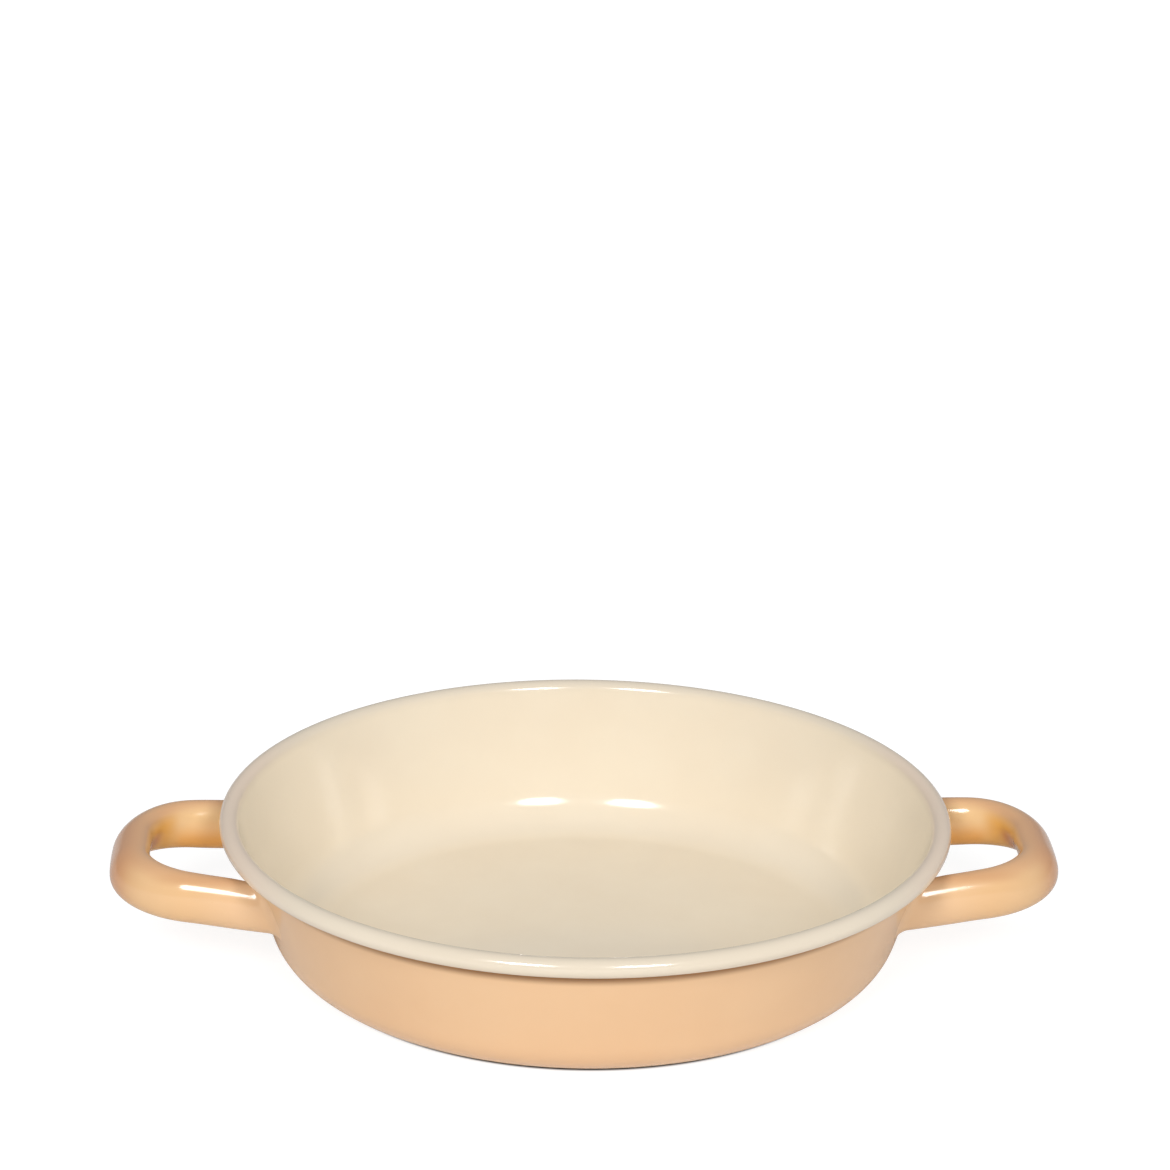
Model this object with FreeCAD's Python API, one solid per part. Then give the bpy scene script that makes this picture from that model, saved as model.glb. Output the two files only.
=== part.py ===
import FreeCAD, Part
import math
import os
from FreeCAD import Rotation, Vector

# Enamel egg pan: a shallow pressed steel bowl with a rolled rim, and two hollow loop handles
# welded to the outside of its wall. Millimetres and degrees. The axis is Z, the base stands
# on Z = 0 and the handles lie along X.

# Bowl
rim_radius = 110.0          # outside of the rolled rim
pan_height = 45.6           # from the base to the top of the rim
sheet = 1.2                 # steel with the enamel on both sides
wall_lean = 18.0            # the wall's lean from upright
corner_radius = 16.0        # outside of the round corner between base and wall
curl_radius = 2.93          # outside of the rolled rim's own section
curl_gap = 0.35             # room between the end of the roll and the wall

# Handle's middle line, seen from above
leg_spacing = 62.9          # between the middles of the two legs, at the wall
leg_turn_in = 9.3           # how far each leg turns towards the other on its way out
side_bend_radius = 21.7     # bend between each leg and the end
end_bend_radius = 200.0     # slight bow of the end
handle_reach = 27.0         # from the rim to the middle of the end

# Handle's middle line, seen from the side
leg_height = 27.4           # at the wall
handle_rise = 5.2           # slope of the whole loop

# Handle's section, an upright oval
tube_width = 10.2
tube_height = 15.5
end_lean = 34.2             # lean of the oval along the end, its top towards the pan
lean_before_bend = 7.0      # straight leg over which the lean begins
lean_before_end = 8.7       # from the middle of the end to where the lean is whole
handle_sheet = 1.2
root_flare = 1.0            # growth of each leg on every side where it meets the wall
root_length = 4.2           # height of that growth over the wall
root_overlap = 2.0          # depth inside the wall's outside to which the untrimmed legs reach

# Fineness of the handle's skin
section_points = 16
root_stations = 12
loop_stations = 12

TOLERANCE = 1e-6


def tilted(length, angle):
    """Vector in the XZ plane, its angle counted from +X towards +Z."""
    turn = math.radians(angle)
    return Vector(length * math.cos(turn), 0, length * math.sin(turn))


def curl_centre():
    return Vector(rim_radius - curl_radius, 0, pan_height - curl_radius)


def wall_top(depth):
    """Where the wall runs into the roll: depth 0 on the wall's inside, sheet on its outside."""
    return curl_centre() + tilted(curl_radius - depth, 180 - wall_lean)


def corner_centre():
    """Centre of the round corner, which touches the base and the wall's outside."""
    start = wall_top(sheet)
    below = start.z - corner_radius
    along_wall = below / math.cos(math.radians(wall_lean))
    foot = start - tilted(along_wall, 90 - wall_lean)
    return Vector(foot.x - corner_radius / math.cos(math.radians(wall_lean)), 0, corner_radius)


def arc_about(centre, radius, start, end):
    """Arc in the XZ plane between two angles."""
    middle = (start + end) / 2
    ends = [centre + tilted(radius, angle) for angle in (start, middle, end)]
    return Part.Arc(*ends).toShape()


def line(start, end):
    return Part.LineSegment(start, end).toShape()


def wall_side(depth):
    """Edges of one side of the sheet, from the axis to the roll: depth 0 inside, sheet outside."""
    centre = corner_centre()
    radius = corner_radius - sheet + depth
    floor = Vector(0, 0, sheet - depth)
    floor_end = centre + tilted(radius, -90)
    wall_start = centre + tilted(radius, -wall_lean)
    return [
        line(floor, floor_end),
        arc_about(centre, radius, -90, -wall_lean),
        line(wall_start, wall_top(depth)),
    ]


def revolved(edges):
    wire = Part.Wire(Part.__sortEdges__(edges))
    return Part.Face(wire).revolve(Vector(0, 0, 0), Vector(0, 0, 1), 360)


def pressed_bowl():
    """Base, round corner, wall and rolled rim in one sheet."""
    centre = curl_centre()
    start = 180 - wall_lean
    inner_radius = curl_radius - sheet
    end = start - 360 + math.degrees(math.acos((inner_radius - curl_gap) / curl_radius))
    edges = wall_side(0) + wall_side(sheet)
    edges.append(line(Vector(0, 0, 0), Vector(0, 0, sheet)))
    edges.append(arc_about(centre, curl_radius, start, end))
    edges.append(arc_about(centre, inner_radius, start, end))
    edges.append(line(centre + tilted(inner_radius, end), centre + tilted(curl_radius, end)))
    return revolved(edges)


def bowl_filled():
    """All that lies within the wall's outside, to trim the handles against."""
    top = wall_top(sheet)
    centre_top = Vector(0, 0, top.z)
    edges = wall_side(sheet)
    edges.append(line(top, centre_top))
    edges.append(line(centre_top, Vector(0, 0, 0)))
    return revolved(edges)


def wall_radius(height):
    """Radius of the wall's outside at a height."""
    top = wall_top(sheet)
    return top.x - (top.z - height) * math.tan(math.radians(wall_lean))


def beyond_wall(point):
    """Distance of a point from the wall's outside, square to it, less than 0 inside."""
    radial = math.hypot(point.x, point.y) - wall_radius(point.z)
    return radial * math.cos(math.radians(wall_lean))


def wall_normal(point):
    """Direction square to the wall's outside, pointing away from the pan."""
    around = Vector(point.x, point.y, 0).normalize()
    lean = math.radians(wall_lean)
    return around * math.cos(lean) - Vector(0, 0, math.sin(lean))


def root_point():
    """Where the middle line of a leg meets the wall's outside."""
    aside = leg_spacing / 2
    return Vector(math.sqrt(wall_radius(leg_height) ** 2 - aside ** 2), aside, 0)


def across(point):
    """The same point on the other half of the loop."""
    return Vector(point.x, -point.y, point.z)


def flat_loop():
    """The handle's middle line in the XY plane: leg, side bend, end bend, side bend, leg."""
    start = root_point()
    turn = math.radians(leg_turn_in)
    outward = Vector(math.cos(turn), -math.sin(turn), 0)
    inward = Vector(-math.sin(turn), -math.cos(turn), 0)
    tip = Vector(rim_radius + handle_reach, 0, 0)
    end_centre = tip - Vector(end_bend_radius, 0, 0)
    offset = start + inward * side_bend_radius - end_centre
    along = offset.dot(outward)
    between = end_bend_radius - side_bend_radius
    leg_length = math.sqrt(along ** 2 - offset.dot(offset) + between ** 2) - along
    leg_end = start + outward * leg_length
    side_centre = leg_end + inward * side_bend_radius
    spoke = (side_centre - end_centre).normalize()
    bend_end = end_centre + spoke * end_bend_radius
    side_middle = side_centre + (spoke - inward).normalize() * side_bend_radius
    curves = [
        Part.LineSegment(start, leg_end),
        Part.Arc(leg_end, side_middle, bend_end),
        Part.Arc(bend_end, tip, across(bend_end)),
        Part.Arc(across(bend_end), across(side_middle), across(leg_end)),
        Part.LineSegment(across(leg_end), across(start)),
    ]
    return Part.Wire([curve.toShape() for curve in curves]), leg_length


def middle_line():
    """The loop at its height and slope, with the length of a straight leg."""
    loop, leg_length = flat_loop()
    start = root_point()
    loop.rotate(Vector(start.x, 0, 0), Vector(0, 1, 0), -handle_rise)
    loop.translate(Vector(0, 0, leg_height))
    return loop, leg_length


def place_on(loop, distance):
    """Point and direction of the middle line at a distance from its first end."""
    for edge in loop.Edges:
        if distance <= edge.Length + TOLERANCE:
            parameter = edge.getParameterByLength(min(max(distance, 0), edge.Length))
            return edge.valueAt(parameter), edge.tangentAt(parameter)
        distance -= edge.Length


def eased(share):
    """0 below 0, 1 above 1, and a smooth step between."""
    share = min(max(share, 0), 1)
    return share * share * (3 - 2 * share)


def flare(from_wall):
    """Growth of the leg's section at a distance from the wall's outside."""
    share = 1 - max(from_wall, -root_overlap) / root_length
    return root_flare * max(share, 0) ** 2


def lean_at(from_root, leg_length, half_length):
    """How far the oval leans at a distance along the loop from its nearer root."""
    begins = leg_length - lean_before_bend
    whole = half_length - lean_before_end
    return end_lean * eased((from_root - begins) / (whole - begins))


def ring(loop, leg_length, distance, skin):
    """Points round the handle, in a plane square to its loop, at a distance along it."""
    half_length = loop.Length / 2
    on_loop = min(max(distance, 0), loop.Length)
    point, forward = place_on(loop, on_loop)
    point = point + forward * (distance - on_loop)
    first_half = distance < half_length
    from_root = distance if first_half else loop.Length - distance
    lean = lean_at(from_root, leg_length, half_length)

    side = forward.cross(Vector(0, 0, 1)).normalize()
    up = side.cross(forward)
    turned = Rotation(forward, lean)
    side, up = turned.multVec(side), turned.multVec(up)

    points = []
    for number in range(section_points):
        angle = 2 * math.pi * number / section_points
        across_part = side * math.cos(angle)
        upward_part = up * math.sin(angle)
        bare = point + across_part * (tube_width / 2) + upward_part * (tube_height / 2)
        growth = flare(beyond_wall(bare)) - skin
        points.append(bare + (across_part + upward_part) * growth)
    return points


def smooth_line(points, parameters, closed):
    line_through = Part.BSplineCurve()
    line_through.interpolate(Points=points, Parameters=parameters, PeriodicFlag=closed)
    return line_through


def smooth_skin(rings, distances):
    """Closed surface through rings of points, with a flat end on its first and its last ring."""
    around = list(range(section_points + 1))
    hoops = [smooth_line(points, around, True) for points in rings]
    rows = zip(*[hoop.getPoles() for hoop in hoops])
    lengthwise = [smooth_line(list(row), distances, False) for row in rows]
    hoop = hoops[0]
    length = lengthwise[0]
    surface = Part.BSplineSurface()
    surface.buildFromPolesMultsKnots(
        [row.getPoles() for row in lengthwise],
        hoop.getMultiplicities(),
        length.getMultiplicities(),
        hoop.getKnots(),
        length.getKnots(),
        True,
        False,
        hoop.Degree,
        length.Degree,
    )
    side = surface.toShape()
    ends = [Part.Face(Part.Wire(edge)) for edge in side.Edges if edge.isClosed()]
    closed = Part.Solid(Part.Shell([side] + ends))
    closed.fix(TOLERANCE, TOLERANCE, TOLERANCE)
    return closed


def root_slant(loop):
    """How far the wall's plane runs along a leg, from the leg's middle to the farthest of its sides."""
    root, outward = place_on(loop, 0)
    normal = wall_normal(root)
    side = outward.cross(Vector(0, 0, 1)).normalize()
    up = side.cross(outward)
    grown = flare(-root_overlap)
    across_wall = (tube_width / 2 + grown) * side.dot(normal) / outward.dot(normal)
    up_wall = (tube_height / 2 + grown) * up.dot(normal) / outward.dot(normal)
    return math.hypot(across_wall, up_wall)


def tube(skin):
    """The handle's loop as one smooth solid, skin under the handle's outside and longer by it."""
    loop, leg_length = middle_line()
    half_length = loop.Length / 2
    slant = root_slant(loop)
    first = -slant - root_overlap
    flare_end = slant + root_length
    root_step = (flare_end - first) / root_stations
    near = [first + root_step * number for number in range(root_stations)]
    step = (half_length - flare_end) / loop_stations
    far = [flare_end + step * number for number in range(loop_stations + 1)]
    half = [first - skin] * (skin > 0) + near + far
    distances = half + [loop.Length - distance for distance in reversed(half[:-1])]
    rings = [ring(loop, leg_length, distance, skin) for distance in distances]
    return smooth_skin(rings, distances)


def hollow_handle():
    """Formed tube, open at both ends, which seat on the wall."""
    seated = tube(0).cut(bowl_filled())
    return seated.cut(tube(handle_sheet)).Solids[0]


def build():
    right = hollow_handle()
    return {
        "pan_bowl": pressed_bowl(),
        "handle_right": right,
        "handle_left": right.mirror(Vector(0, 0, 0), Vector(1, 0, 0)),
    }


os.makedirs("parts", exist_ok=True)
for name, shape in build().items():
    shape.exportStep("parts/" + name + ".step")
    box = shape.optimalBoundingBox()
    print(name, "valid", shape.isValid(), "solids", len(shape.Solids), "volume", round(shape.Volume, 1))
    print("  size %.2f x %.2f x %.2f, lowest %.2f" % (box.XLength, box.YLength, box.ZLength, box.ZMin))
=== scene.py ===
import math

import bpy
from mathutils import Matrix, Vector


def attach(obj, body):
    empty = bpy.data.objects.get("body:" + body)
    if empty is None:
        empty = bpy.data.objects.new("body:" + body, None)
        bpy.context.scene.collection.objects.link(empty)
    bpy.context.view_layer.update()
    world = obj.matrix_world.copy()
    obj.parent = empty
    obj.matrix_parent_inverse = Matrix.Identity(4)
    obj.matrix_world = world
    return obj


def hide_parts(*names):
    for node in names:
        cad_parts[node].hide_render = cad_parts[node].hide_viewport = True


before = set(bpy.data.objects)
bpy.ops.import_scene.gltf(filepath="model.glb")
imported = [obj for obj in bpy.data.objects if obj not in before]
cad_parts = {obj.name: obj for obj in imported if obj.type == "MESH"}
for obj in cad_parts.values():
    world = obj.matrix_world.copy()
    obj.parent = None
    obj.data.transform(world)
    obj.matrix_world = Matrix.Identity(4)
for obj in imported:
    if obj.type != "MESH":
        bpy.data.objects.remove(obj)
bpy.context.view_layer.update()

# The pan's own sizes, in metres and radians
MM = 0.001
RIM_RADIUS = 110.0 * MM
PAN_HEIGHT = 45.6 * MM
SHEET = 1.2 * MM
WALL_LEAN = math.radians(18.0)
CORNER_RADIUS = 16.0 * MM
CURL_RADIUS = 2.93 * MM
CURL_END = math.radians(-136.1)

# The handle's middle line and its oval tube
LEG_SPACING = 62.9 * MM
LEG_TURN_IN = math.radians(9.3)
SIDE_BEND_RADIUS = 21.7 * MM
END_BEND_RADIUS = 200.0 * MM
HANDLE_REACH = 27.0 * MM
LEG_HEIGHT = 27.4 * MM
HANDLE_RISE = math.radians(5.2)
TUBE_WIDTH = 10.2 * MM
TUBE_HEIGHT = 15.5 * MM
END_LEAN = math.radians(34.2)
LEAN_BEFORE_BEND = 7.0 * MM
LEAN_BEFORE_END = 8.7 * MM
ROOT_BEGINS = 14.0 * MM
FILLET = 2.4 * MM
ROOT_SUNK = 0.35 * MM
ROOT_WAIST = 0.25 * MM

# The visible pieces are a hair smaller than the sizes above, to stay within the solid model's box
FIT = 0.9999

# Fineness of the meshes
BOWL_SEGMENTS = 192
TUBE_SEGMENTS = 64
CORNER_STEPS = 18
ROLL_STEPS = 40
END_BEND_STEPS = 4
SIDE_BEND_STEPS = 22
LEG_STEPS = 8
ROOT_STEPS = 12
FILLET_STEPS = 9
MERGE_DISTANCE = 0.01 * MM

# Shades of the two enamels, and the painted light and shade laid on them
CREAM = (0.87, 0.767, 0.607, 1.0)
DEEP_CREAM = (0.83, 0.71, 0.545, 1.0)
# painted light: the inner side walls a shade lighter than the rest of the cream
SIDE_WALL_PAINTED_LIGHT = (0.905, 0.796, 0.626, 1.0)
# partly the rim's own band of greyer cream, partly painted shade on the rim
RIM_BAND_AND_PAINTED_SHADE = (0.79, 0.695, 0.56, 1.0)
# painted shade on the front of the rim
FRONT_RIM_PAINTED_SHADE = (0.755, 0.66, 0.526, 1.0)
# painted shade, pinker, on the sides of the rim
SIDE_RIM_PAINTED_SHADE = (0.835, 0.69, 0.555, 1.0)
PEACH = (0.806, 0.529, 0.305, 1.0)
DEEP_PEACH = (0.77, 0.48, 0.265, 1.0)
# painted shade: a dark brown band on the outside just under the rim's roll
UNDER_RIM_PAINTED_SHADE = (0.36, 0.17, 0.06, 1.0)
HANDLE_PEACH = (0.80, 0.509, 0.265, 1.0)
DEEP_HANDLE_PEACH = (0.76, 0.46, 0.225, 1.0)
# painted shade on the tops of the handles
HANDLE_TOP_PAINTED_SHADE = (0.74, 0.43, 0.225, 1.0)
# painted shade on the tops of the legs
LEG_TOP_PAINTED_SHADE = (0.68, 0.38, 0.19, 1.0)
# painted shade towards the tips of the handles
TIP_PAINTED_SHADE = (0.68, 0.34, 0.165, 1.0)
# painted light on the upper inner faces of the legs
INNER_PAINTED_LIGHT = (0.88, 0.60, 0.31, 1.0)
# painted shade, a deeper orange, on the lower inner faces of the legs
LOWER_INNER_PAINTED_SHADE = (0.90, 0.46, 0.13, 1.0)
# painted light: bright orange on the inner face of the loop's end
INNER_END_PAINTED_LIGHT = (0.90, 0.49, 0.13, 1.0)
# painted shade: a dark brown spot in the inner bend at the loop's end
INNER_END_PAINTED_SHADE = (0.64, 0.21, 0.02, 1.0)


# Small helps for work in edit mode

def deselect_everything():
    bpy.ops.object.select_all(action="DESELECT")


def start_piece(name):
    """Names the primitive just added, puts its place into its mesh and opens it with everything selected."""
    piece = bpy.context.object
    piece.name = name
    piece.data.name = name
    bpy.ops.object.transform_apply(location=True, rotation=True, scale=True)
    bpy.ops.object.mode_set(mode="EDIT")
    bpy.ops.mesh.select_mode(type="VERT")
    bpy.ops.mesh.select_all(action="SELECT")
    return piece


def finish_piece(piece, smooth_angle):
    """Merges doubles, fits the piece to its size, closes edit mode and shades smooth."""
    bpy.ops.mesh.select_all(action="SELECT")
    bpy.ops.mesh.remove_doubles(threshold=MERGE_DISTANCE)
    bpy.ops.mesh.normals_make_consistent(inside=False)
    bpy.ops.transform.resize(value=(FIT, FIT, FIT), center_override=(0, 0, 0))
    bpy.ops.object.mode_set(mode="OBJECT")
    bpy.ops.object.shade_smooth_by_angle(angle=smooth_angle)
    return piece


def pull_out(offset):
    """Extrudes the selected ring and moves the new one."""
    bpy.ops.mesh.extrude_region_move(TRANSFORM_OT_translate={"value": tuple(offset)})


def axis_matrix(axis):
    return Vector(axis).to_track_quat("Z", "Y").to_matrix()


def turn(angle, axis, centre):
    """Turns the selection about an axis through a centre, by the right-hand rule."""
    bpy.ops.transform.rotate(
        value=angle,
        orient_axis="Z",
        orient_type="GLOBAL",
        orient_matrix=axis_matrix(axis),
        orient_matrix_type="GLOBAL",
        constraint_axis=(False, False, True),
        center_override=tuple(centre),
    )


def stretch(factor, axis, centre):
    """Stretches the selection along one direction."""
    bpy.ops.transform.resize(
        value=(1.0, 1.0, factor),
        orient_type="GLOBAL",
        orient_matrix=axis_matrix(axis),
        orient_matrix_type="GLOBAL",
        constraint_axis=(False, False, True),
        center_override=tuple(centre),
    )


def eased(share):
    share = min(max(share, 0.0), 1.0)
    return share * share * (3.0 - 2.0 * share)


# Bowl: the sheet's inner side is drawn up ring by ring from the floor to the end of the roll

def curl_centre():
    return RIM_RADIUS - CURL_RADIUS, PAN_HEIGHT - CURL_RADIUS


def wall_radius(height, depth):
    """Radius of the wall at a height: depth 0 on its inside, SHEET on its outside."""
    centre_radius, centre_height = curl_centre()
    top_radius = centre_radius - (CURL_RADIUS - depth) * math.cos(WALL_LEAN)
    top_height = centre_height + (CURL_RADIUS - depth) * math.sin(WALL_LEAN)
    return top_radius - (top_height - height) * math.tan(WALL_LEAN)


def corner_centre_radius():
    """Radius at which the round corner begins, which is the flat base's radius too."""
    touch = wall_radius(CORNER_RADIUS, SHEET)
    return touch - CORNER_RADIUS / math.cos(WALL_LEAN)


def bowl_rings():
    """Radius and height of each ring of the sheet's inner side after the first."""
    start = corner_centre_radius()
    rings = [(share * start, SHEET) for share in (0.3, 0.55, 0.78, 0.93, 0.985, 1.0)]
    sweep = math.pi / 2 - WALL_LEAN
    for step in range(1, CORNER_STEPS + 1):
        angle = -math.pi / 2 + sweep * step / CORNER_STEPS
        radius = start + (CORNER_RADIUS - SHEET) * math.cos(angle)
        height = CORNER_RADIUS + (CORNER_RADIUS - SHEET) * math.sin(angle)
        rings.append((radius, height))
    centre_radius, centre_height = curl_centre()
    foot = rings[-1][1]
    top = centre_height + CURL_RADIUS * math.sin(WALL_LEAN)
    for share in (0.03, 0.12, 0.3, 0.5, 0.7, 0.88, 0.97):
        height = foot + (top - foot) * share
        rings.append((wall_radius(height, 0.0), height))
    first = math.pi - WALL_LEAN
    for step in range(ROLL_STEPS + 1):
        angle = first + (CURL_END - first) * step / ROLL_STEPS
        radius = centre_radius + CURL_RADIUS * math.cos(angle)
        rings.append((radius, centre_height + CURL_RADIUS * math.sin(angle)))
    return rings


def make_bowl():
    deselect_everything()
    first_radius = 0.08 * corner_centre_radius()
    bpy.ops.mesh.primitive_circle_add(
        vertices=BOWL_SEGMENTS, radius=first_radius, fill_type="TRIFAN", location=(0, 0, SHEET)
    )
    bowl = start_piece("enamel_bowl")
    bpy.ops.object.mode_set(mode="OBJECT")
    for vertex in bowl.data.vertices:
        vertex.select = vertex.co.to_2d().length > first_radius / 2
    for edge in bowl.data.edges:
        edge.select = all(bowl.data.vertices[end].select for end in edge.vertices)
    for face in bowl.data.polygons:
        face.select = False
    bpy.ops.object.mode_set(mode="EDIT")
    radius, height = first_radius, SHEET
    for next_radius, next_height in bowl_rings():
        pull_out((0, 0, next_height - height))
        factor = next_radius / radius
        bpy.ops.transform.resize(value=(factor, factor, 1.0), center_override=(0, 0, next_height))
        radius, height = next_radius, next_height
    bpy.ops.mesh.select_all(action="SELECT")
    bpy.ops.mesh.normals_make_consistent(inside=False)
    bpy.ops.object.mode_set(mode="OBJECT")
    floor_face = min(bowl.data.polygons, key=lambda face: face.center.to_2d().length)
    if floor_face.normal.z < 0:
        bpy.ops.object.mode_set(mode="EDIT")
        bpy.ops.mesh.flip_normals()
        bpy.ops.object.mode_set(mode="OBJECT")
    sheet = bowl.modifiers.new("sheet", "SOLIDIFY")
    sheet.thickness = SHEET
    sheet.offset = -1.0
    sheet.use_even_offset = True
    sheet.material_offset = 1
    bowl.data.materials.append(cream_enamel)
    bowl.data.materials.append(peach_enamel)
    bpy.ops.object.modifier_apply(modifier="sheet")
    bpy.ops.object.mode_set(mode="EDIT")
    finish_piece(bowl, math.radians(40))
    return bowl


# Handle: half the loop is drawn out of one oval ring, from the middle of its end to the wall

def wall_normal(point):
    """Direction square to the wall's outside, away from the pan."""
    around = Vector((point.x, point.y, 0.0)).normalized()
    return around * math.cos(WALL_LEAN) - Vector((0, 0, math.sin(WALL_LEAN)))


def handle_plan():
    """Root, length of a straight leg, centre and sweeps of the two bends, in the loop's flat plan."""
    aside = LEG_SPACING / 2
    radius = wall_radius(LEG_HEIGHT, SHEET)
    root = Vector((math.sqrt(radius ** 2 - aside ** 2), aside, LEG_HEIGHT))
    outward = Vector((math.cos(LEG_TURN_IN), -math.sin(LEG_TURN_IN), 0))
    inward = Vector((-math.sin(LEG_TURN_IN), -math.cos(LEG_TURN_IN), 0))
    end_centre = Vector((RIM_RADIUS + HANDLE_REACH - END_BEND_RADIUS, 0, LEG_HEIGHT))
    offset = root + inward * SIDE_BEND_RADIUS - end_centre
    along = offset.dot(outward)
    between = END_BEND_RADIUS - SIDE_BEND_RADIUS
    leg_length = math.sqrt(along ** 2 - offset.length_squared + between ** 2) - along
    bend_centre = root + outward * leg_length + inward * SIDE_BEND_RADIUS
    spoke = bend_centre - end_centre
    end_sweep = math.atan2(spoke.y, spoke.x)
    bend_sweep = math.pi / 2 - LEG_TURN_IN - end_sweep
    return root, outward, leg_length, end_centre, end_sweep, bend_centre, bend_sweep


def draw_half_loop(piece):
    """Draws the half loop's two bends from the selected oval ring, flat, and hands back the way to draw the
    straight leg on to where its root begins.
    """
    root, outward, leg_length, end_centre, end_sweep, bend_centre, bend_sweep = handle_plan()
    half_length = END_BEND_RADIUS * end_sweep + SIDE_BEND_RADIUS * bend_sweep + leg_length
    begins = leg_length - LEAN_BEFORE_BEND
    whole = half_length - LEAN_BEFORE_END
    state = {
        "centre": Vector((RIM_RADIUS + HANDLE_REACH, 0, LEG_HEIGHT)),
        "heading": 0.0,
        "from_root": half_length,
        "lean": 0.0,
    }

    def travel():
        """Direction of travel: square to X at the end, along the leg towards the wall after the bends."""
        return Vector((-math.sin(state["heading"]), math.cos(state["heading"]), 0))

    def lean_here():
        lean = END_LEAN * eased((state["from_root"] - begins) / (whole - begins))
        lean -= HANDLE_RISE * math.cos(state["heading"]) * math.cos(LEG_TURN_IN)
        turn(state["lean"] - lean, travel(), state["centre"])
        state["lean"] = lean

    def round_bend(centre, radius, sweep, steps):
        for step in range(steps):
            pull_out((0, 0, 0))
            turn(sweep / steps, (0, 0, 1), centre)
            spin = Matrix.Rotation(sweep / steps, 3, "Z")
            state["centre"] = spin @ (state["centre"] - centre) + centre
            state["heading"] += sweep / steps
            state["from_root"] -= radius * sweep / steps
            lean_here()

    def along_leg(length, steps):
        for step in range(steps):
            move = travel() * (length / steps)
            pull_out(move)
            state["centre"] += move
            state["from_root"] -= length / steps
            lean_here()

    lean_here()
    round_bend(end_centre, END_BEND_RADIUS, end_sweep, END_BEND_STEPS)
    round_bend(bend_centre, SIDE_BEND_RADIUS, bend_sweep, SIDE_BEND_STEPS)
    return root, outward, leg_length, along_leg


def make_right_handle(bowl):
    deselect_everything()
    tip = Vector((RIM_RADIUS + HANDLE_REACH, 0, LEG_HEIGHT))
    bpy.ops.mesh.primitive_circle_add(
        vertices=TUBE_SEGMENTS, radius=TUBE_HEIGHT / 2, location=tip, rotation=(math.pi / 2, 0, 0)
    )
    handle = start_piece("loop_handle_right")
    bpy.ops.transform.resize(value=(TUBE_WIDTH / TUBE_HEIGHT, 1, 1), center_override=tuple(tip))
    root, outward, leg_length, along_leg = draw_half_loop(handle)
    along_leg(leg_length - ROOT_BEGINS, LEG_STEPS)

    # the whole half loop rises from the wall, then its last rings settle on the wall's lean
    bpy.ops.object.mode_set(mode="OBJECT")
    chosen = [vertex.select for vertex in handle.data.vertices]
    bpy.ops.object.mode_set(mode="EDIT")
    bpy.ops.mesh.select_all(action="SELECT")
    turn(-HANDLE_RISE, (0, 1, 0), (root.x, 0, LEG_HEIGHT))
    bpy.ops.object.mode_set(mode="OBJECT")
    for vertex, keep in zip(handle.data.vertices, chosen):
        vertex.select = keep
    for edge in handle.data.edges:
        edge.select = all(handle.data.vertices[end].select for end in edge.vertices)
    for face in handle.data.polygons:
        face.select = False
    bpy.ops.object.mode_set(mode="EDIT")
    leg_way = Matrix.Rotation(-HANDLE_RISE, 3, "Y") @ outward
    normal = wall_normal(root)
    hinge = leg_way.cross(normal).normalized()
    whole_turn = leg_way.angle(normal)
    first_root_ring = len(handle.data.vertices) // TUBE_SEGMENTS
    from_wall = []
    state = {"turned": 0.0, "grown": 0.0, "left": ROOT_BEGINS}

    def root_ring(left, next_turn, growth):
        """The next ring: how far along the leg it is from the wall, its turn to the wall and its growth."""
        turned = state["turned"]
        centre = root + leg_way * left
        pull_out(leg_way * (left - state["left"]))
        turn(next_turn - turned, hinge, centre)
        slant = hinge.cross(Matrix.Rotation(next_turn, 3, hinge) @ leg_way)
        stretch(math.cos(turned) / math.cos(next_turn), slant, centre)
        bpy.ops.transform.push_pull(value=state["grown"] - growth, center_override=tuple(centre))
        state.update(turned=next_turn, grown=growth, left=left)

    fillet_begins = FILLET / math.cos(whole_turn)
    for step in range(1, ROOT_STEPS + 1):
        share = step / ROOT_STEPS
        left = ROOT_BEGINS + (fillet_begins - ROOT_BEGINS) * share
        root_ring(left, whole_turn * eased(share), -ROOT_WAIST * share ** 2)
    first_fillet_ring = first_root_ring + ROOT_STEPS
    for step in range(1, FILLET_STEPS + 1):
        angle = math.pi / 2 * step / FILLET_STEPS
        height = FILLET * (1 - math.sin(angle))
        growth = FILLET * (1 - math.cos(angle)) - ROOT_WAIST
        root_ring(height / math.cos(whole_turn), whole_turn, growth)
        from_wall.append(height)
    root_ring(-ROOT_SUNK / math.cos(whole_turn), whole_turn, FILLET - ROOT_WAIST)
    from_wall.append(-ROOT_SUNK)
    bpy.ops.mesh.edge_face_add()
    bpy.ops.object.mode_set(mode="OBJECT")
    for number, height in enumerate(from_wall):
        start = (first_fillet_ring + number) * TUBE_SEGMENTS
        group = handle.vertex_groups.new(name="fillet_ring_%d" % number)
        group.add(range(start, start + TUBE_SEGMENTS), 1.0, "REPLACE")
        settle = handle.modifiers.new("settle", "SHRINKWRAP")
        settle.target = bowl
        settle.wrap_method = "NEAREST_SURFACEPOINT"
        settle.wrap_mode = "ABOVE_SURFACE"
        settle.offset = height
        settle.vertex_group = group.name
        bpy.ops.object.modifier_apply(modifier="settle")
    handle.vertex_groups.clear()
    mirror = handle.modifiers.new("other_half", "MIRROR")
    mirror.use_axis = (False, True, False)
    mirror.use_mirror_merge = True
    mirror.merge_threshold = MERGE_DISTANCE
    handle.data.materials.append(handle_enamel)
    bpy.ops.object.modifier_apply(modifier="other_half")
    bpy.ops.object.mode_set(mode="EDIT")
    finish_piece(handle, math.radians(50))
    return handle


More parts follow.
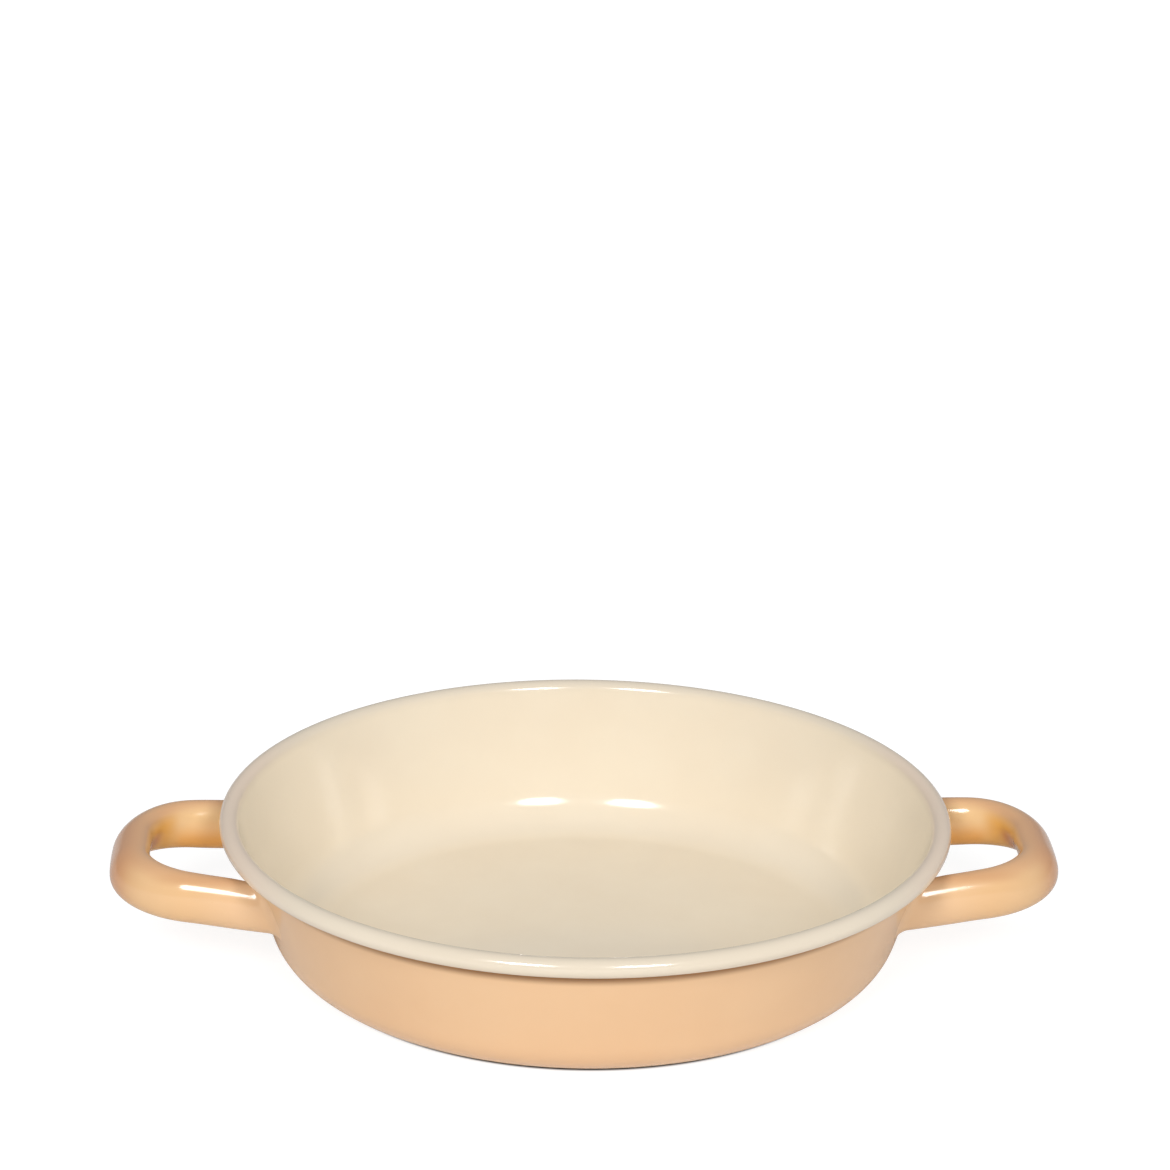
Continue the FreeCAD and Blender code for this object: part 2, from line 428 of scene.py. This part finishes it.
def copy_to_left(handle):
    """The left handle is the right one's mirror image, with a mesh of its own."""
    deselect_everything()
    handle.select_set(True)
    bpy.context.view_layer.objects.active = handle
    bpy.ops.object.duplicate(linked=False)
    left = bpy.context.object
    left.name = "loop_handle_left"
    left.data.name = "loop_handle_left"
    bpy.ops.object.mode_set(mode="EDIT")
    bpy.ops.mesh.select_all(action="SELECT")
    bpy.ops.transform.resize(value=(-1, 1, 1), center_override=(0, 0, 0))
    bpy.ops.mesh.normals_make_consistent(inside=False)
    bpy.ops.object.mode_set(mode="OBJECT")
    return left


# Enamel: glass fused on steel, with faint unevenness in its colour and its surface, and tints, several of
# which paint light and shade into its colour

def distances(nodes, links, place):
    """How far each point is from the pan's middle.

    x and y count to either side, z counts up, r counts out from the axis, and back is y with its sign.
    """
    parts = nodes.new("ShaderNodeSeparateXYZ")
    links.new(place, parts.inputs["Vector"])
    found = {"z": parts.outputs["Z"], "back": parts.outputs["Y"]}
    for name, output in (("x", "X"), ("y", "Y")):
        positive = nodes.new("ShaderNodeMath")
        positive.operation = "ABSOLUTE"
        links.new(parts.outputs[output], positive.inputs[0])
        found[name] = positive.outputs["Value"]
    flat = nodes.new("ShaderNodeCombineXYZ")
    links.new(parts.outputs["X"], flat.inputs["X"])
    links.new(parts.outputs["Y"], flat.inputs["Y"])
    length = nodes.new("ShaderNodeVectorMath")
    length.operation = "LENGTH"
    links.new(flat.outputs["Vector"], length.inputs[0])
    found["r"] = length.outputs["Value"]
    return found


def tinted(nodes, links, found, shade, tint):
    """Blends the shade into another colour over ranges, in millimetres, of the named distances."""
    colour, most, ranges = tint
    share = None
    for name, start, end in ranges:
        ramp = nodes.new("ShaderNodeMapRange")
        ramp.interpolation_type = "SMOOTHSTEP"
        ramp.inputs["From Min"].default_value = start * MM
        ramp.inputs["From Max"].default_value = end * MM
        ramp.inputs["To Max"].default_value = most if share is None else 1.0
        links.new(found[name], ramp.inputs["Value"])
        if share is None:
            share = ramp.outputs["Result"]
            continue
        both = nodes.new("ShaderNodeMath")
        both.operation = "MULTIPLY"
        links.new(share, both.inputs[0])
        links.new(ramp.outputs["Result"], both.inputs[1])
        share = both.outputs["Value"]
    blend = nodes.new("ShaderNodeMix")
    blend.data_type = "RGBA"
    links.new(share, blend.inputs["Factor"])
    links.new(shade, blend.inputs["A"])
    blend.inputs["B"].default_value = colour
    return blend.outputs["Result"]


def enamel(name, colour, deep_colour, tints):
    material = bpy.data.materials.new(name)
    material.use_nodes = True
    nodes = material.node_tree.nodes
    links = material.node_tree.links
    shader = nodes["Principled BSDF"]
    shader.inputs["Roughness"].default_value = 0.14
    shader.inputs["IOR"].default_value = 1.55
    place = nodes.new("ShaderNodeTexCoord")

    clouds = nodes.new("ShaderNodeTexNoise")
    clouds.inputs["Scale"].default_value = 38.0
    clouds.inputs["Detail"].default_value = 3.0
    links.new(place.outputs["Object"], clouds.inputs["Vector"])
    share = nodes.new("ShaderNodeMapRange")
    share.inputs["From Min"].default_value = 0.35
    share.inputs["From Max"].default_value = 0.65
    share.inputs["To Max"].default_value = 0.35
    links.new(clouds.outputs["Fac"], share.inputs["Value"])
    shades = nodes.new("ShaderNodeMix")
    shades.data_type = "RGBA"
    shades.inputs["A"].default_value = colour
    shades.inputs["B"].default_value = deep_colour
    links.new(share.outputs["Result"], shades.inputs["Factor"])
    shade = shades.outputs["Result"]
    found = distances(nodes, links, place.outputs["Object"])
    for tint in tints:
        shade = tinted(nodes, links, found, shade, tint)

    specks = nodes.new("ShaderNodeTexVoronoi")
    specks.inputs["Scale"].default_value = 210.0
    links.new(place.outputs["Object"], specks.inputs["Vector"])
    speck_size = nodes.new("ShaderNodeMapRange")
    speck_size.inputs["From Min"].default_value = 0.05
    speck_size.inputs["From Max"].default_value = 0.09
    speck_size.inputs["To Min"].default_value = 0.22
    speck_size.inputs["To Max"].default_value = 0.0
    links.new(specks.outputs["Distance"], speck_size.inputs["Value"])
    speckled = nodes.new("ShaderNodeMix")
    speckled.data_type = "RGBA"
    speckled.inputs["B"].default_value = deep_colour
    links.new(speck_size.outputs["Result"], speckled.inputs["Factor"])
    links.new(shade, speckled.inputs["A"])
    links.new(speckled.outputs["Result"], shader.inputs["Base Color"])

    ripple = nodes.new("ShaderNodeTexNoise")
    ripple.inputs["Scale"].default_value = 160.0
    ripple.inputs["Detail"].default_value = 2.0
    links.new(place.outputs["Object"], ripple.inputs["Vector"])
    bump = nodes.new("ShaderNodeBump")
    bump.inputs["Strength"].default_value = 0.06
    bump.inputs["Distance"].default_value = 0.3 * MM
    links.new(ripple.outputs["Fac"], bump.inputs["Height"])
    links.new(bump.outputs["Normal"], shader.inputs["Normal"])
    return material


# Each tint: its shade, its greatest share, and the ranges in millimetres over which it comes in
RIM_BEGINS = ("r", 103.6, 105.2)
CLEAR_OF_THE_WALL = ("r", 106.0, 112.0)
BACK_HALF = ("back", -9.0, 3.0)

cream_enamel = enamel("cream_enamel", CREAM, DEEP_CREAM, (
    # painted light on the inner side walls
    (SIDE_WALL_PAINTED_LIGHT, 1.0, (("x", 66.0, 96.0),)),
    # the rim a shade greyer and deeper: partly its own band, partly painted shade
    (RIM_BAND_AND_PAINTED_SHADE, 1.0, (RIM_BEGINS,)),
    # painted shade on the front of the rim
    (FRONT_RIM_PAINTED_SHADE, 1.0, (RIM_BEGINS, ("back", -85.0, -104.0))),
    # painted shade on the sides of the rim
    (SIDE_RIM_PAINTED_SHADE, 1.0, (RIM_BEGINS, ("x", 84.0, 104.0))),
))
peach_enamel = enamel("peach_enamel", PEACH, DEEP_PEACH, (
    # painted shade: dark brown just under the rim's roll
    (UNDER_RIM_PAINTED_SHADE, 1.0, (("z", 34.6, 37.8),)),
))
handle_enamel = enamel("handle_peach_enamel", HANDLE_PEACH, DEEP_HANDLE_PEACH, (
    (PEACH, 1.0, (("r", 126.0, 107.0),)),
    # painted shade on the tops of the handles
    (HANDLE_TOP_PAINTED_SHADE, 1.0, (("z", 34.5, 37.5), ("r", 104.0, 112.0))),
    # painted shade on the tops of the legs
    (LEG_TOP_PAINTED_SHADE, 1.0, (("z", 33.5, 36.5), ("r", 104.0, 112.0), ("y", 25.0, 31.0))),
    # painted shade towards the tips of the handles
    (TIP_PAINTED_SHADE, 1.0, (("x", 131.0, 140.0), ("y", 32.0, 14.0))),
    # painted light on the upper inner faces of the legs
    (INNER_PAINTED_LIGHT, 1.0, (
        ("y", 28.5, 24.5),
        ("x", 128.0, 122.0),
        CLEAR_OF_THE_WALL,
        ("z", 38.0, 33.5),
    )),
    # painted shade, deeper orange, on the lower inner faces of the legs
    (LOWER_INNER_PAINTED_SHADE, 1.0, (
        ("y", 28.5, 24.5),
        ("x", 129.0, 122.0),
        CLEAR_OF_THE_WALL,
        ("z", 33.0, 25.0),
    )),
    # painted light: bright orange on the inner face of the loop's far end
    (INNER_END_PAINTED_LIGHT, 1.0, (
        BACK_HALF,
        ("y", 27.0, 23.0),
        ("x", 122.0, 128.0),
        ("x", 134.0, 132.0),
        ("z", 37.0, 33.0),
    )),
    # painted shade: dark brown spot in the inner bend of the loop's far end
    (INNER_END_PAINTED_SHADE, 0.8, (
        BACK_HALF,
        ("y", 18.0, 13.0),
        ("x", 126.0, 129.5),
        ("x", 134.0, 132.0),
        ("z", 34.0, 30.0),
    )),
))

bowl = make_bowl()
handle_right = make_right_handle(bowl)
handle_left = copy_to_left(handle_right)
for piece, node, slot in (
    (bowl, "pan_bowl", "bowl_enamel"),
    (handle_right, "handle_right", "handle_enamel"),
    (handle_left, "handle_left", "handle_enamel"),
):
    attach(piece, "root")
    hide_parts(node)


# Floor, white surroundings and two soft boxes in front of the pan

FLOOR_SIZE = 12.0


def white_ground():
    """White card: it lights the pan from below, keeps its soft shadow and is white to the camera; just under
    the pan's edge its glow stops, a painted contact shadow.
    """
    material = bpy.data.materials.new("white_ground")
    material.use_nodes = True
    nodes = material.node_tree.nodes
    links = material.node_tree.links
    shader = nodes["Principled BSDF"]
    shader.inputs["Roughness"].default_value = 0.9
    shader.inputs["Specular IOR Level"].default_value = 0.0
    ray = nodes.new("ShaderNodeLightPath")
    card = nodes.new("ShaderNodeMix")
    card.data_type = "RGBA"
    card.inputs["A"].default_value = (0.9, 0.9, 0.9, 1.0)
    card.inputs["B"].default_value = (0.28, 0.28, 0.28, 1.0)
    links.new(ray.outputs["Is Camera Ray"], card.inputs["Factor"])
    links.new(card.outputs["Result"], shader.inputs["Base Color"])
    place = nodes.new("ShaderNodeTexCoord")
    distance = nodes.new("ShaderNodeVectorMath")
    distance.operation = "LENGTH"
    links.new(place.outputs["Object"], distance.inputs[0])
    glow = nodes.new("ShaderNodeMapRange")
    glow.interpolation_type = "SMOOTHSTEP"
    glow.inputs["From Min"].default_value = 0.15
    glow.inputs["From Max"].default_value = 0.45
    glow.inputs["To Min"].default_value = 0.86
    glow.inputs["To Max"].default_value = 1.0
    links.new(distance.outputs["Value"], glow.inputs["Value"])
    # painted contact shadow: inside the pan's footprint the floor's glow to the camera stops, leaving a dark
    # line at the pan's foot
    foot = nodes.new("ShaderNodeMapRange")
    foot.inputs["From Min"].default_value = 84.0 * MM
    foot.inputs["From Max"].default_value = 85.2 * MM
    links.new(distance.outputs["Value"], foot.inputs["Value"])
    glow_past_painted_shadow = nodes.new("ShaderNodeMath")
    glow_past_painted_shadow.operation = "MULTIPLY"
    links.new(foot.outputs["Result"], glow_past_painted_shadow.inputs[0])
    links.new(glow.outputs["Result"], glow_past_painted_shadow.inputs[1])
    seen = nodes.new("ShaderNodeMath")
    seen.operation = "MULTIPLY"
    links.new(ray.outputs["Is Camera Ray"], seen.inputs[0])
    links.new(glow_past_painted_shadow.outputs["Value"], seen.inputs[1])
    shader.inputs["Emission Color"].default_value = (1.0, 1.0, 1.0, 1.0)
    links.new(seen.outputs["Value"], shader.inputs["Emission Strength"])
    return material


deselect_everything()
# a hair under the pan's flat base, so that the two faces don't share one plane
bpy.ops.mesh.primitive_plane_add(size=FLOOR_SIZE, location=(0, 0, -0.05 * MM))
floor = bpy.context.object
floor.name = "floor"
floor.data.materials.append(white_ground())

CAMERA_PLACE = Vector((-57.55, -1252.69, 574.66)) * MM
CAMERA_FORWARD = Vector((0.04229, 0.93853, -0.34260))
CAMERA_RIGHT = Vector((0.99910, -0.04023, 0.01312))
SENSOR_WIDTH = 36.0
LENS = 138.95
AIM = Vector((0, 0, 30.0)) * MM
LAMP_DISTANCE = 3.0
AHEAD = math.atan2(CAMERA_PLACE.x, -CAMERA_PLACE.y)


def surroundings():
    """White room: it lights the pan from behind, the sides and above, and is plainly white to the camera."""
    world = bpy.data.worlds.new("white_surroundings")
    bpy.context.scene.world = world
    world.use_nodes = True
    nodes = world.node_tree.nodes
    links = world.node_tree.links
    place = nodes.new("ShaderNodeTexCoord")
    up = Vector((0, 0, 1))
    back = Vector((-math.sin(AHEAD), math.cos(AHEAD), 0))
    right = Vector((math.cos(AHEAD), math.sin(AHEAD), 0))
    level = None
    for side, strength in (
        (back, 0.30),
        (right, 0.26),
        (-right, 0.10),
        (back + up, 0.15),
        (right + up, 0.30),
        (up - right, 0.25),
    ):
        towards = nodes.new("ShaderNodeVectorMath")
        towards.operation = "DOT_PRODUCT"
        towards.inputs[1].default_value = side.normalized()
        links.new(place.outputs["Generated"], towards.inputs[0])
        lit = nodes.new("ShaderNodeMath")
        lit.operation = "MAXIMUM"
        lit.inputs[1].default_value = 0.0
        links.new(towards.outputs["Value"], lit.inputs[0])
        squared = nodes.new("ShaderNodeMath")
        squared.operation = "MULTIPLY"
        links.new(lit.outputs["Value"], squared.inputs[0])
        links.new(lit.outputs["Value"], squared.inputs[1])
        added = nodes.new("ShaderNodeMath")
        added.operation = "MULTIPLY_ADD"
        links.new(squared.outputs["Value"], added.inputs[0])
        added.inputs[1].default_value = strength
        if level is None:
            added.inputs[2].default_value = 0.0
        else:
            links.new(level.outputs["Value"], added.inputs[2])
        level = added
    ray = nodes.new("ShaderNodeLightPath")
    white = nodes.new("ShaderNodeMix")
    links.new(ray.outputs["Is Camera Ray"], white.inputs["Factor"])
    links.new(level.outputs["Value"], white.inputs["A"])
    white.inputs["B"].default_value = 1.0
    links.new(white.outputs["Result"], nodes["Background"].inputs["Strength"])
    nodes["Background"].inputs["Color"].default_value = (1.0, 1.0, 1.0, 1.0)


surroundings()


def soft_box(name, azimuth, elevation, width, height, power):
    """A soft box that faces the pan. Its azimuth counts from the camera's, positive to its right."""
    ahead = AHEAD + math.radians(azimuth)
    rise = math.radians(elevation)
    away = Vector((math.sin(ahead) * math.cos(rise), -math.cos(ahead) * math.cos(rise), math.sin(rise)))
    bpy.ops.object.light_add(type="AREA", location=AIM + away * LAMP_DISTANCE)
    lamp = bpy.context.object
    lamp.name = name
    lamp.rotation_euler = away.to_track_quat("Z", "Y").to_euler()
    lamp.data.shape = "ELLIPSE"
    lamp.data.size = width
    lamp.data.size_y = height
    lamp.data.energy = power
    return lamp


soft_box("soft_box_left", azimuth=-19.1, elevation=33.0, width=0.82, height=0.95, power=43.6)
soft_box("soft_box_right", azimuth=18.3, elevation=31.0, width=0.74, height=0.94, power=34.8)

up = CAMERA_RIGHT.cross(CAMERA_FORWARD)
back = -CAMERA_FORWARD
camera_data = bpy.data.cameras.new("camera")
camera = bpy.data.objects.new("camera", camera_data)
bpy.context.scene.collection.objects.link(camera)
camera.matrix_world = Matrix((
    (CAMERA_RIGHT.x, up.x, back.x, CAMERA_PLACE.x),
    (CAMERA_RIGHT.y, up.y, back.y, CAMERA_PLACE.y),
    (CAMERA_RIGHT.z, up.z, back.z, CAMERA_PLACE.z),
    (0, 0, 0, 1),
))
camera_data.sensor_width = SENSOR_WIDTH
camera_data.lens = LENS
camera_data.clip_start = 0.1
camera_data.clip_end = 30.0
bpy.context.scene.camera = camera
bpy.context.scene.view_settings.view_transform = "Standard"
